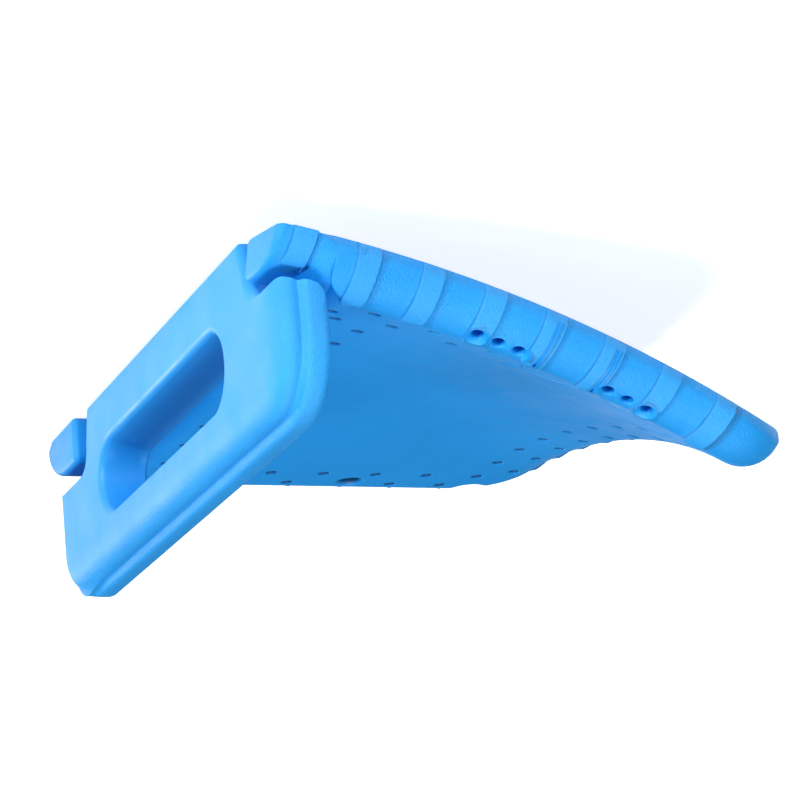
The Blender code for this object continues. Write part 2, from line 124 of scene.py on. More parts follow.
def rimRibTree():
    # lifts the rim along its normals wherever a rib crosses it: a bar with a round end on the back
    lengths = ["Short Pitch", "Long Pitch", "Width", "Rise", "Edge", "Near Reach", "Low Reach"]
    lengths += ["End Y", "Free X", "Corner"]
    tree, given = startTree("rimRibs", {label: "NodeSocketFloat" for label in lengths})
    size = given.outputs
    point = addNode(tree, "GeometryNodeInputPosition", {}, {})
    x, y, z = addNode(tree, parted, {}, {0: point}).outputs
    awayY = addNode(tree, calc, {"operation": "ABSOLUTE"}, {0: y})
    halfShort = addNode(tree, calc, times, {0: size["Short Pitch"], 1: 0.5})
    cornerX = addNode(tree, calc, plus, {0: size["Free X"], 1: size["Corner"]})
    cornerY = addNode(tree, calc, minus, {0: size["End Y"], 1: size["Corner"]})
    shiftedX = addNode(tree, calc, minus, {0: x, 1: halfShort})
    nearSide = addNode(tree, calc, less, {0: y, 1: 0.0})
    gain = addNode(tree, calc, minus, {0: size["Near Reach"], 1: size["Low Reach"]})
    extra = addNode(tree, calc, times, {0: nearSide, 1: gain})
    shortReach = addNode(tree, calc, plus, {0: extra, 1: size["Low Reach"]})
    sides = [
        {
            "reach": shortReach,
            "inset": addNode(tree, calc, minus, {0: size["End Y"], 1: awayY}),
            "along": shiftedX,
            "pitch": size["Short Pitch"],
            "gate": addNode(tree, calc, greater, {0: x, 1: cornerX}),
        },
        {
            "reach": size["Low Reach"],
            "inset": addNode(tree, calc, minus, {0: x, 1: size["Free X"]}),
            "along": y,
            "pitch": size["Long Pitch"],
            "gate": addNode(tree, calc, less, {0: awayY, 1: cornerY}),
        },
    ]
    halfWidth = addNode(tree, calc, times, {0: size["Width"], 1: 0.5})
    inner = addNode(tree, calc, minus, {0: halfWidth, 1: size["Edge"]})
    lifts = []
    for side in sides:
        half = addNode(tree, calc, times, {0: side["pitch"], 1: 0.5})
        minusHalf = addNode(tree, calc, times, {0: side["pitch"], 1: -0.5})
        across = addNode(tree, calc, {"operation": "WRAP"}, {0: side["along"], 1: half, 2: minusHalf})
        barEnd = addNode(tree, calc, minus, {0: side["reach"], 1: halfWidth})
        past = addNode(tree, calc, minus, {0: side["inset"], 1: barEnd})
        run = addNode(tree, calc, largest, {0: past, 1: 0.0})
        reach = addNode(tree, joined, {}, {0: across, 1: run})
        far = addNode(tree, vectorCalc, {"operation": "LENGTH"}, {0: reach})
        shape = addNode(
            tree, remap, softRange,
            {"Value": far.outputs["Value"], "From Min": halfWidth, "From Max": inner}
        )
        # the bay's own walls lie deeper in and lower than the skin outside, and stay plain
        deep = addNode(tree, calc, greater, {0: side["inset"], 1: skin["bayInset"]})
        floor = addNode(tree, calc, times, {0: deep, 1: skin["bayHeight"]})
        outside = addNode(tree, calc, greater, {0: z, 1: floor})
        gated = addNode(tree, calc, times, {0: shape, 1: side["gate"]})
        lifts.append(addNode(tree, calc, times, {0: gated, 1: outside}))
    either = addNode(tree, calc, largest, {0: lifts[0], 1: lifts[1]})
    fade = addNode(tree, remap, softRange, {"Value": z, "From Min": 0.0, "From Max": skin["ribFoot"]})
    lift = addNode(tree, calc, times, {0: either, 1: fade})
    height = addNode(tree, calc, times, {0: lift, 1: size["Rise"]})
    # on the front facet the ribs stand out sideways, so that none of them reaches under the rim
    normal = addNode(tree, "GeometryNodeInputNormal", {}, {})
    facing = addNode(tree, parted, {}, {0: normal})
    upward = addNode(tree, calc, largest, {0: facing.outputs["Z"], 1: 0.0})
    level = addNode(tree, joined, {}, {"X": facing.outputs["X"], "Y": facing.outputs["Y"], "Z": upward})
    outward = addNode(tree, vectorCalc, {"operation": "NORMALIZE"}, {0: level})
    offset = addNode(tree, vectorCalc, scaled, {0: outward, "Scale": height})
    nearest = addNode(tree, calc, smallest, {0: sides[0]["inset"], 1: sides[1]["inset"]})
    start, end = skin["grainInset"]
    grain = addNode(
        tree, remap, softRange,
        {"Value": nearest, "From Min": start, "From Max": end, "To Min": 1.0, "To Max": skin["backGrain"]}
    )
    geometry = size["Geometry"]
    for name, value in (("ribLift", lift), ("skinGrain", grain)):
        geometry = addNode(
            tree, "GeometryNodeStoreNamedAttribute", {"data_type": "FLOAT", "domain": "POINT"},
            {"Geometry": geometry, "Name": name, "Value": value}
        )
    lifted = addNode(tree, "GeometryNodeSetPosition", {}, {"Geometry": geometry, "Offset": offset})
    return endTree(tree, given, lifted)


def repeatTree():
    # sets one small shape on every point, each turned a little differently
    sizes = {"Shape": "NodeSocketObject", "Turn": "NodeSocketFloat", "Seed": "NodeSocketInt"}
    tree, given = startTree("repeatOnPoints", sizes)
    size = given.outputs
    shape = addNode(
        tree, "GeometryNodeObjectInfo", {"transform_space": "ORIGINAL"},
        {"Object": size["Shape"]}
    )
    spin = addNode(
        tree, "FunctionNodeRandomValue", {"data_type": "FLOAT"},
        {2: 0.0, 3: size["Turn"], "Seed": size["Seed"]}
    )
    turned = addNode(tree, joined, {}, {"Z": spin.outputs[1]})
    copies = addNode(
        tree, "GeometryNodeInstanceOnPoints", {},
        {"Points": size["Geometry"], "Instance": shape.outputs["Geometry"], "Rotation": turned}
    )
    return endTree(tree, given, copies)


def peelTree():
    # rolls the flat case round a cylinder that lies across a diagonal, so that one corner peels up
    sizes = ("Heading", "Radius", "Start", "Neutral")
    tree, given = startTree("peelBend", {label: "NodeSocketFloat" for label in sizes})
    size = given.outputs
    point = addNode(tree, "GeometryNodeInputPosition", {}, {})
    z = addNode(tree, parted, {}, {0: point}).outputs["Z"]
    sine = addNode(tree, calc, {"operation": "SINE"}, {0: size["Heading"]})
    cosine = addNode(tree, calc, {"operation": "COSINE"}, {0: size["Heading"]})
    ahead = addNode(tree, joined, {}, {0: sine, 1: cosine})
    toward = addNode(tree, vectorCalc, scaled, {0: ahead, "Scale": -1.0})
    dot = addNode(tree, vectorCalc, {"operation": "DOT_PRODUCT"}, {0: point, 1: toward})
    run = addNode(tree, calc, plus, {0: dot.outputs["Value"], 1: size["Start"]})
    angle = addNode(tree, calc, divided, {0: run, 1: size["Radius"]})
    height = addNode(tree, calc, minus, {0: z, 1: size["Neutral"]})
    arm = addNode(tree, calc, minus, {0: size["Radius"], 1: height})
    rise = addNode(tree, calc, {"operation": "COSINE"}, {0: angle})
    reach = addNode(tree, calc, {"operation": "SINE"}, {0: angle})
    newRun = addNode(tree, calc, times, {0: arm, 1: reach})
    drop = addNode(tree, calc, times, {0: arm, 1: rise})
    shift = addNode(tree, calc, minus, {0: newRun, 1: run})
    climb = addNode(tree, calc, minus, {0: arm, 1: drop})
    slide = addNode(tree, vectorCalc, scaled, {0: toward, "Scale": shift})
    lift = addNode(tree, joined, {}, {"Z": climb})
    move = addNode(tree, vectorCalc, plus, {0: slide.outputs["Vector"], 1: lift})
    bent = addNode(
        tree, "FunctionNodeCompare", {"data_type": "FLOAT", "operation": "GREATER_THAN"},
        {0: run, 1: 0.0}
    )
    moved = addNode(
        tree, "GeometryNodeSetPosition", {},
        {"Geometry": size["Geometry"], "Selection": bent, "Offset": move.outputs["Vector"]}
    )
    return endTree(tree, given, moved)


# ---- meshes


def linkedObject(name, data):
    made = bpy.data.objects.new(name, data)
    bpy.context.scene.collection.objects.link(made)
    return made


def evaluatedMesh(piece):
    bpy.context.view_layer.update()
    graph = bpy.context.evaluated_depsgraph_get()
    return bpy.data.meshes.new_from_object(piece.evaluated_get(graph), depsgraph=graph)


def meshPiece(name, bm):
    bmesh.ops.remove_doubles(bm, verts=bm.verts, dist=0.003 * mm)
    bmesh.ops.dissolve_degenerate(bm, edges=bm.edges, dist=0.002 * mm)
    bmesh.ops.recalc_face_normals(bm, faces=bm.faces)
    if bm.calc_volume(signed=True) < 0:
        bmesh.ops.reverse_faces(bm, faces=bm.faces)
    mesh = bpy.data.meshes.new(name)
    bm.to_mesh(mesh)
    bm.free()
    return linkedObject(name, mesh)


def bakedPiece(piece, name, finish, sharpAngle=38, move=(0.0, 0.0, 0.0)):
    # the evaluated shape as a plain mesh, smooth but for its sharp edges
    mesh = evaluatedMesh(piece)
    mesh.transform(Matrix.Translation(move))
    mesh.name = name
    mesh.materials.clear()
    mesh.materials.append(finish)
    mesh.polygons.foreach_set("use_smooth", [True] * len(mesh.polygons))
    mesh.polygons.foreach_set("material_index", [0] * len(mesh.polygons))
    mesh.set_sharp_from_angle(angle=math.radians(sharpAngle))
    bpy.data.objects.remove(piece)
    print(name, len(mesh.polygons), "faces")
    return linkedObject(name, mesh)


def skinLoft(bm, rings, closed=True):
    loops = [[bm.verts.new(point) for point in ring] for ring in rings]
    for first, second in zip(loops, loops[1:]):
        for i in range(len(first)):
            j = (i + 1) % len(first)
            bm.faces.new([first[i], first[j], second[j], second[i]])
    if closed:
        bm.faces.new(loops[0][::-1])
        bm.faces.new(loops[-1])
    return loops


def loftPiece(name, rings, closed=True):
    bm = bmesh.new()
    skinLoft(bm, rings, closed)
    return meshPiece(name, bm)


def arc(cx, cy, rx, ry, start, end, steps):
    turns = [math.radians(start + (end - start) * i / steps) for i in range(steps + 1)]
    return [(cx + rx * math.cos(turn), cy + ry * math.sin(turn)) for turn in turns]


def joinOrCut(target, operation, tools, solver="EXACT"):
    for tool in tools:
        modifier = target.modifiers.new(f"{operation.lower()} {tool.name}", "BOOLEAN")
        modifier.operation = operation
        modifier.solver = solver
        modifier.object = tool
        tool.hide_render = True
        tool.hide_set(True)


# ---- the flat foam case

case = {
    "freeX": -95.9 * mm,
    "hingeX": 93.4 * mm,
    "endY": 137.3 * mm,
    "height": 20.0 * mm,
    "cornerRadius": 33.0 * mm,
    "backInset": 14.0 * mm,
    "backDrop": 13.5 * mm,
    "gridInset": 28.0 * mm,
    "hingeCorner": 0.6 * mm,
    "originShift": -9.55 * mm,
    # how much squarer the hinge side is near the ears: from, to, by how much
    "squarer": ((97 * mm, 106 * mm, 0.2), (128 * mm, 136 * mm, 0.5)),
}
bay = {
    "halfWidth": 87.4 * mm,
    "halfLength": 125.6 * mm,
    "cornerRadius": 9.0 * mm,
    "lipRadius": 7.0 * mm,
    "lip": 3.8 * mm,
    "overlap": 5.0 * mm,
    "floor": 11.7 * mm,
    "gridInset": 11.0 * mm,
}
ribs = {
    "Short Pitch": 23.43 * mm,
    "Long Pitch": 24.5 * mm,
    "Width": 9.6 * mm,
    "Rise": 1.2 * mm,
    "Edge": 0.9 * mm,
    "Near Reach": 12.9 * mm,
    "Low Reach": 6.6 * mm,
}
peel = {"Heading": math.radians(40.3), "Radius": 248 * mm, "Start": 37 * mm, "Neutral": 7.3 * mm}
cornerSteps = 14
longestStep = 4.6 * mm
shortestStep = 0.05 * mm


def ribStations(low, high, centres, halfWidth):
    # positions along a side, close together where a rib's edge rises
    offsets = (0.3, 0.0, -0.17, -0.34, -0.52, -0.72, -0.95, -1.35)
    places = [low, high]
    for centre in centres:
        for sign in (-1, 1):
            places += [centre + sign * (halfWidth + offset * mm) for offset in offsets]
        places.append(centre)
    places = sorted(place for place in places if low <= place <= high)
    filled = [places[0]]
    for place in places[1:]:
        start = filled[-1]
        gap = place - start
        if gap < shortestStep:
            continue
        pieces = max(1, math.ceil(gap / longestStep))
        filled += [start + gap * k / pieces for k in range(1, pieces + 1)]
    filled[-1] = high
    return filled


halfRib = ribs["Width"] / 2
innerCornerX = case["freeX"] + case["cornerRadius"]
innerCornerY = case["endY"] - case["cornerRadius"]
centresX = [(k + 0.5) * ribs["Short Pitch"] for k in range(-3, 4)]
centresY = [k * ribs["Long Pitch"] for k in range(-4, 5)]
stationsX = ribStations(innerCornerX, case["hingeX"] - case["hingeCorner"], centresX, halfRib)
stationsY = ribStations(-innerCornerY, innerCornerY, centresY, halfRib)
shareX, shareY = [
    [(place - places[0]) / (places[-1] - places[0]) for place in places]
    for places in (stationsX, stationsY)
]


def hingeRounding(y):
    # the hinge side is rounded between the ears and runs more squarely into them
    rounding = 1.0
    for low, high, share in case["squarer"]:
        rounding -= share * smoothstep(low, high, abs(y))
    return rounding


def closedRing(sides, corners, z):
    # a side, a corner and so on, all the way round; a corner is (x, y, radius) of its arc
    points = []
    for k, (side, (x, y, radius)) in enumerate(zip(sides, corners)):
        points += side + arc(x, y, radius, radius, 90 * k - 90, 90 * k, cornerSteps)[1:-1]
    return [(x, y, z) for x, y in points]


def outerRing(inset, z):
    # one ring of the skin at this inset from the outline; the last one has square corners for the grid
    flatPart = max(0.0, (inset - case["backInset"]) / (case["gridInset"] - case["backInset"]))
    radius = (case["cornerRadius"] - min(inset, case["backInset"])) * (1 - flatPart)
    hingeRadius = case["hingeCorner"] * (1 - flatPart)
    left = case["freeX"] + inset
    endY = case["endY"] - inset
    right = case["hingeX"] - inset * hingeRounding(endY)
    sideX = []
    for x, share in zip(stationsX, shareX):
        even = left + radius + share * (right - hingeRadius - left - radius)
        kept = min(x, right - hingeRadius)
        sideX.append(kept + (even - kept) * flatPart)
    freeY = [(-1 + 2 * share) * (endY - radius) for share in shareY]
    hingeY = [(-1 + 2 * share) * (endY - hingeRadius) for share in shareY]
    sides = [
        [(x, -endY) for x in sideX],
        [(case["hingeX"] - inset * hingeRounding(y), y) for y in hingeY],
        [(x, endY) for x in reversed(sideX)],
        [(left, y) for y in reversed(freeY)],
    ]
    corners = [
        (right - hingeRadius, -endY + hingeRadius, hingeRadius),
        (right - hingeRadius, endY - hingeRadius, hingeRadius),
        (left + radius, endY - radius, radius),
        (left + radius, -endY + radius, radius),
    ]
    return closedRing(sides, corners, z)


def bayRing(inset, radius, z):
    halfX = bay["halfWidth"] - inset
    halfY = bay["halfLength"] - inset
    alongX = [(-1 + 2 * share) * (halfX - radius) for share in shareX]
    alongY = [(-1 + 2 * share) * (halfY - radius) for share in shareY]
    sides = [
        [(x, -halfY) for x in alongX],
        [(halfX, y) for y in alongY],
        [(x, halfY) for x in reversed(alongX)],
        [(-halfX, y) for y in reversed(alongY)],
    ]
    centreX = halfX - radius
    centreY = halfY - radius
    corners = [
        (centreX, -centreY, radius),
        (centreX, centreY, radius),
        (-centreX, centreY, radius),
        (-centreX, -centreY, radius),
    ]
    return closedRing(sides, corners, z)


def fillGrid(bm, lowX, highX, halfY, z):
    # highX is the right end of the row at y
    rows = []
    for share in shareY:
        y = (-1 + 2 * share) * halfY
        rows.append([bm.verts.new((lowX + part * (highX(y) - lowX), y, z)) for part in shareX])
    for lower, upper in zip(rows, rows[1:]):
        for i in range(len(lower) - 1):
            bm.faces.new([lower[i], lower[i + 1], upper[i + 1], upper[i]])


# (inset, z) in millimetres: the rim's edge over the table, the lip's inner edge and the bay's wall
frontEdge = [(0.0, 5.2), (0.04, 4.2), (0.3, 3.3), (0.9, 2.35)]
frontEdge += [(1.7, 1.4), (2.5, 0.65), (3.2, 0.2), (4.3, 0.0)]
lipEdge = [(-0.9, 0.0), (-0.35, 0.2), (0.0, 0.8), (0.0, 3.0), (-0.2, 3.6), (-0.8, 3.8)]
bayWall = [(0.6, 3.8), (0.1, 4.0), (0.0, 4.5), (0.0, 8.0), (0.0, 11.0), (0.25, 11.5), (0.9, 11.7)]
rimTurns = (90, 92, 94, 96, 98, 100, 102, 104.5, 107, 110, 114, 119, 125, 132, 140, 149, 158, 167, 174, 180)
backInsets = (28.0, 23.0, 19.0, 16.5, 15.0)


def flatCase():
    bm = bmesh.new()
    rings = [outerRing(inset * mm, case["height"]) for inset in backInsets]
    for turn in rimTurns:
        angle = math.radians(turn)
        inset = case["backInset"] * (1 + math.cos(angle))
        rings.append(outerRing(inset, case["height"] - case["backDrop"] * (1 - math.sin(angle))))
    for inset, z in frontEdge:
        rings.append(outerRing(inset * mm, z * mm))
    overlap = bay["overlap"] / mm
    for inset, z in lipEdge:
        rings.append(bayRing((overlap + inset) * mm, bay["lipRadius"], z * mm))
    for inset, z in bayWall:
        rings.append(bayRing(inset * mm, bay["cornerRadius"], z * mm))
    rings.append(bayRing(5 * mm, bay["cornerRadius"] / 2, bay["floor"]))
    rings.append(bayRing(bay["gridInset"], 0.0, bay["floor"]))
    skinLoft(bm, rings, closed=False)
    inset = case["gridInset"]
    end = lambda y: case["hingeX"] - inset * hingeRounding(y)
    fillGrid(bm, case["freeX"] + inset, end, case["endY"] - inset, case["height"])
    halfX = bay["halfWidth"] - bay["gridInset"]
    fillGrid(bm, -halfX, lambda y: halfX, bay["halfLength"] - bay["gridInset"], bay["floor"])
    return meshPiece("flatCase", bm)


ear = {
    "innerY": {-1: 106.3 * mm, 1: 100.0 * mm},
    "endX": 115.0 * mm,
    "root": 9.0 * mm,
    "height": {-1: (16.8 * mm, 15.8 * mm), 1: (19.6 * mm, 19.2 * mm)},     # at the root and at the tip
    "backReach": {-1: (17.0 * mm, 27.0 * mm), 1: (15.0 * mm, 22.0 * mm)},
    "backRise": {-1: (12.4 * mm, 14.6 * mm), 1: (13.5 * mm, 14.0 * mm)},
    "innerRadius": {-1: 2.6 * mm, 1: 4.0 * mm},
    "frontRadius": 3.0 * mm,
    "tipRadius": 2.6 * mm,
    "blend": (-1.0 * mm, 9.0 * mm),     # from the hinge side, over which the root turns into the tip
    "step": 1.5 * mm,
    "leastRadius": (1.2 * mm, 1.0 * mm),
    "frontRise": 5.4 * mm,
    "soften": 0.8,                      # how much rounder the front edge gets towards the tip
}
earRibEdge = (0.3, 0, -0.25, -0.5, -0.8, -1.2)


def earPiece(side):
    # a horn that carries the rim's own section out past the hinge side and rounds off at its tip
    ribCentre = 4.5 * ribs["Short Pitch"]
    marks = [case["hingeX"] - ear["root"] + k * ear["step"] for k in range(12)]
    marks += [ribCentre + sign * (halfRib + offset * mm) for sign in (-1, 1) for offset in earRibEdge]
    marks += [ribCentre + offset * mm for offset in (-1.2, 1.2)]
    tipX = ear["endX"] - ear["tipRadius"]
    stations = [(x, 0.0) for x in sorted(marks) if x < tipX - 0.2 * mm] + [(tipX, 0.0)]
    for turn in (12, 24, 36, 48, 60, 72, 84):
        angle = math.radians(turn)
        x = tipX + ear["tipRadius"] * math.sin(angle)
        stations.append((x, ear["tipRadius"] * (1 - math.cos(angle))))
    rings = []
    for x, inset in stations:
        start, end = [case["hingeX"] + reach for reach in ear["blend"]]
        change = smoothstep(start, end, x)
        height, radiusY, radiusZ = [
            root + (tip - root) * change - inset
            for root, tip in (ear["height"][side], ear["backReach"][side], ear["backRise"][side])
        ]
        outer = case["endY"] - 0.02 * mm * (1 - change) - inset
        squeeze = min(1.0, (height - radiusZ - inset) / ear["frontRise"])
        inner = ear["innerY"][side] + inset
        small = max(ear["innerRadius"][side] - inset, ear["leastRadius"][0])
        front = max(ear["frontRadius"] - inset, ear["leastRadius"][1])
        soften = 1 + ear["soften"] * change
        points = [(outer - dy * mm * soften, z * mm * squeeze + inset) for dy, z in reversed(frontEdge)]
        points += arc(outer - radiusY, height - radiusZ, radiusY, radiusZ, 0, 90, 16)
        points += arc(inner + small, height - small, small, small, 90, 180, 8)
        points += arc(inner + front, inset + front, front, front, 180, 270, 5)
        rings.append([(x, side * y, z) for y, z in points])
    return loftPiece("earNear" if side < 0 else "earFar", rings)


dimples = {
    "pitchShort": 23.5 * mm,
    "pitchLong": 24.5 * mm,
    "outerInset": 16.3 * mm,
    "innerInset": 29.5 * mm,
    "farShift": -7.0 * mm,
    "depth": 2.2,
    "cameraGap": 10.0 * mm,
    "shade": (0.15 * mm, 0.8 * mm),    # the depths between which the finish darkens, as painted shade
}
cameraHole = {"x": -11.0 * mm, "y": 118.3 * mm, "radius": 4.2 * mm, "bevel": 1.4 * mm}
speakers = {"first": 18.5 * mm, "pitch": 8.3 * mm, "inset": 5.4 * mm, "height": 18.2 * mm, "radius": 2.15}
tongue = {"x": -1.5 * mm, "halfWidth": 12.0 * mm, "straight": 18.0 * mm, "groove": 0.55 * mm}
scoop = {
    "x": -70.0 * mm,
    "inset": 3.0 * mm,
    "z": 22.0 * mm,
    "reachX": 11.0 * mm,
    "reachY": 16.0 * mm,
    "reachZ": 8.0 * mm,
}


def lathePiece(name, profile, sides, turn=Matrix.Identity(4)):
    # profile is (radius, height) in millimetres, closed at both ends
    rings = []
    for radius, height in profile:
        ring = [(x, y, height * mm) for x, y in arc(0, 0, radius * mm, radius * mm, 0, 360, sides)[:-1]]
        rings.append([turn @ Vector(point) for point in ring])
    return loftPiece(name, rings)


def dimplePoints():
    points = []
    for k in range(-3, 4):
        x = k * dimples["pitchShort"]
        if abs(x) > tongue["halfWidth"]:
            points.append((x, dimples["outerInset"] - case["endY"]))
        if abs(x + dimples["farShift"] - cameraHole["x"]) > dimples["cameraGap"]:
            points.append((x + dimples["farShift"], case["endY"] - dimples["outerInset"]))
        x = (k + 0.5) * dimples["pitchShort"]
        points.append((x, dimples["innerInset"] - case["endY"]))
        points.append((x + dimples["farShift"], case["endY"] - dimples["innerInset"]))
    for inset in (dimples["outerInset"], dimples["innerInset"]):
        step = 0.0 if inset == dimples["outerInset"] else 0.5
        rows = range(-4, 5) if step == 0.0 else range(-4, 4)
        for k in rows:
            y = (k + step) * dimples["pitchLong"]
            points.append((case["freeX"] + inset, y))
            points.append((case["hingeX"] - inset, y))
    return [(x, y, case["height"]) for x, y in points]


def pointSet(name, points, tree, values):
    mesh = bpy.data.meshes.new(name)
    mesh.from_pydata(points, [], [])
    piece = linkedObject(name, mesh)
    useTree(piece, tree, values)
    return piece


def solidified(piece):
    # a cutter's tree result as a plain mesh, with the tree gone
    mesh = evaluatedMesh(piece)
    bm = bmesh.new()
    bm.from_mesh(mesh)
    bmesh.ops.remove_doubles(bm, verts=bm.verts, dist=0.003 * mm)
    bmesh.ops.recalc_face_normals(bm, faces=bm.faces)
    bm.to_mesh(mesh)
    bm.free()
    made = linkedObject(piece.name + "Cut", mesh)
    bpy.data.objects.remove(piece)
    return made


def markDepth(piece, top):
    # how deep a cutter's points lie, as a negative lift that the foam's finish turns into painted shade
    marks = piece.data.attributes.new("ribLift", "FLOAT", "POINT")
    start, end = dimples["shade"]
    lifts = [-smoothstep(start, end, top - vert.co.z) for vert in piece.data.vertices]
    marks.data.foreach_set("value", lifts)
    return piece


def dimpleCutter(tree, finish):
    depth = dimples["depth"]
    dent = [(0.5, -depth), (1.2, -0.95 * depth), (1.75, -0.78 * depth), (2.15, -0.52 * depth)]
    dent += [(2.4, -0.26 * depth), (2.6, -0.1), (2.85, -0.015), (3.2, 0.05), (3.7, 0.7)]
    shape = markDepth(lathePiece("dent", dent, 24), 0.0)
    values = {"Shape": shape, "Turn": 0.26, "Seed": 4, "Finish": finish}
    cut = solidified(pointSet("dimples", dimplePoints(), tree, values))
    bpy.data.objects.remove(shape)
    return cut


def speakerCutter(tree, finish):
    # each hole slants from the rim down to the tablet's edge
    inside = Vector((0, 1.5 * mm - bay["halfLength"], 0.5 * (bay["lip"] + bay["floor"])))
    mouth = Vector((0, speakers["inset"] - case["endY"], speakers["height"]))
    along = mouth - inside
    length = along.length / mm
    turn = Matrix.Translation(inside) @ along.to_track_quat("Z", "Y").to_matrix().to_4x4()
    radius = speakers["radius"]
    bore = [(radius, 0.0), (radius, length - 2.3), (radius + 0.12, length - 1.7)]
    bore += [(radius + 0.45, length - 1.2), (radius + 1.1, length - 0.75)]
    bore += [(radius + 2.2, length - 0.2), (radius + 2.4, length + 3)]
    shape = lathePiece("speakerBore", bore, 28, turn)
    reaches = [speakers["first"] + k * speakers["pitch"] for k in range(3)]
    places = [(side * reach, 0, 0) for side in (-1, 1) for reach in reaches]
    values = {"Shape": shape, "Turn": 0.0, "Seed": 1, "Finish": finish}
    cut = solidified(pointSet("speakerHoles", places, tree, values))
    bpy.data.objects.remove(shape)
    return cut


def cameraCutter():
    radius = cameraHole["radius"] / mm
    bevel = cameraHole["bevel"] / mm
    mouth = radius + bevel
    bore = [(radius + 0.6, -10.5), (radius + 0.15, -8.6), (radius, -7.9), (radius, -bevel - 0.6)]
    bore += [(radius + 0.15, -bevel), (mouth, -0.25), (mouth + 0.5, 0.0)]
    bore += [(mouth + 1.0, 0.4), (mouth + 1.2, 3)]
    place = Matrix.Translation((cameraHole["x"], cameraHole["y"], case["height"]))
    return markDepth(lathePiece("cameraHoleCut", bore, 48, place), case["height"])


def scoopCutter():
    # a thumb recess on the far rim, over the tablet's button
    centre = Vector((scoop["x"], case["endY"] - scoop["inset"], scoop["z"]))
    rings = []
    for step in range(1, 20):
        turn = math.radians(-90 + 180 * step / 20)
        x = centre.x + scoop["reachX"] * math.sin(turn)
        size = math.cos(turn)
        ring = arc(centre.y, centre.z, scoop["reachY"] * size, scoop["reachZ"] * size, 0, 360, 44)[:-1]
        rings.append([(x, y, z) for y, z in ring])
    return loftPiece("scoopCut", rings)


def tongueCutter():
    # a thin groove that outlines the port cover: up over the rim, round on the back and down again
    route = []
    for turn in range(180, 89, -6):
        angle = math.radians(turn)
        inset = case["backInset"] * (1 + math.cos(angle))
        proud = ribs["Rise"] * (1 - smoothstep(7 * mm, 11 * mm, inset))
        z = case["height"] - case["backDrop"] * (1 - math.sin(angle)) + proud * math.sin(angle)
        route.append((tongue["halfWidth"], inset + proud * math.cos(angle), z))
    route.append((tongue["halfWidth"], tongue["straight"], case["height"]))
    for turn in range(10, 91, 10):
        angle = math.radians(turn)
        reach = tongue["straight"] + tongue["halfWidth"] * math.sin(angle)
        route.append((tongue["halfWidth"] * math.cos(angle), reach, case["height"]))
    route.insert(0, (tongue["halfWidth"], -ribs["Rise"], 3.4 * mm))
    whole = route + [(-across, inset, z) for across, inset, z in reversed(route[:-1])]
    data = bpy.data.curves.new("tongueGroove", "CURVE")
    data.dimensions = "3D"
    spline = data.splines.new("POLY")
    spline.points.add(len(whole) - 1)
    for point, (across, inset, z) in zip(spline.points, whole):
        point.co = (tongue["x"] + across, inset - case["endY"], z, 1.0)
    data.bevel_depth = tongue["groove"]
    data.bevel_resolution = 2
    data.use_fill_caps = True
    return solidified(linkedObject("tongueGroove", data))


# ---- the handle

handle = {
    "innerX": 96.0 * mm,
    "outerX": 114.0 * mm,
    "low": 0.4 * mm,
    "high": 70.8 * mm,
    "endY": {-1: 130.0 * mm, 1: 134.5 * mm},
    "neckY": {-1: 101.2 * mm, 1: 89.8 * mm},
    "neckTaper": 3.0 * mm,
    "step": (24.7 * mm, 30.6 * mm),    # at the outer and at the inner face
    "cornerRadius": {-1: 27.0 * mm, 1: 20.0 * mm},
    "neckCorner": 6.0 * mm,
    "neckFillet": 11.0 * mm,
    "notchEdge": 3.4 * mm,
    "notchBackEdge": 3.8 * mm,
    "footCorner": 5.0 * mm,
    "faceGrain": 0.3,
    "grainStep": 0.25,         # grows by this from ring to ring round the edge
    "grooveFade": (100 * mm, 122 * mm, 0.92),    # from, to, by how much it fades at the far end
}
grip = {
    "length": 145.0 * mm,
    "height": 28.0 * mm,
    "low": 22.4 * mm,
    "edge": 3.4 * mm,
    "backEdge": 1.2 * mm,
    "taper": 4.5 * mm,
}
# (inset, depth) in millimetres, from the outer face back, away from the neck and at its foot
shoulderEdge = [(13.0, 0.0), (9.8, 0.26), (7.2, 1.0), (5.3, 2.1), (4.0, 3.4), (3.1, 4.9), (2.75, 6.2)]
shoulderEdge += [(2.8, 7.2), (3.0, 7.9), (3.0, 8.5), (2.5, 9.1), (1.5, 9.55), (0.65, 10.1)]
shoulderEdge += [(0.15, 10.8), (0.0, 11.6)]
shoulderEdge += [(0.0, 15.4), (0.45, 17.0), (1.1, 17.65), (2.0, 18.0)]
grooveRings = (5, 13)    # the rings of the shoulder that dip into the groove
neckEdge = [(3.4, 0.0), (2.75, 0.1), (2.2, 0.3), (1.75, 0.55), (1.4, 0.85), (1.1, 1.2), (0.85, 1.6)]
neckEdge += [(0.7, 2.1), (0.62, 2.6), (0.56, 3.1), (0.45, 3.7), (0.3, 4.4), (0.12, 5.4)]
neckEdge += [(0.0, 6.8), (0.0, 8.2)]
neckEdge += [(0.85, 11.9), (3.0, 14.8), (6.0, 17.0), (10.0, 18.0)]


def sideOutline(side):
    # (y, z, share of the neck's edge) up one end of the plate
    endY = handle["endY"][side]
    size = handle["footCorner"]
    lowEnd = arc(endY - size, handle["low"] + size, size, size, -90, 0, 4)
    outline = [(y, z, 1 - i / 4) for i, (y, z) in enumerate(lowEnd)]
    outline += [(endY, z * mm, 0.0) for z in (10, 20, 29, 36)]
    size = handle["cornerRadius"][side]
    highEnd = arc(endY - size, handle["high"] - size, size, size, 0, 90, 22)
    return outline + [(y, z, 0.0) for y, z in highEnd]


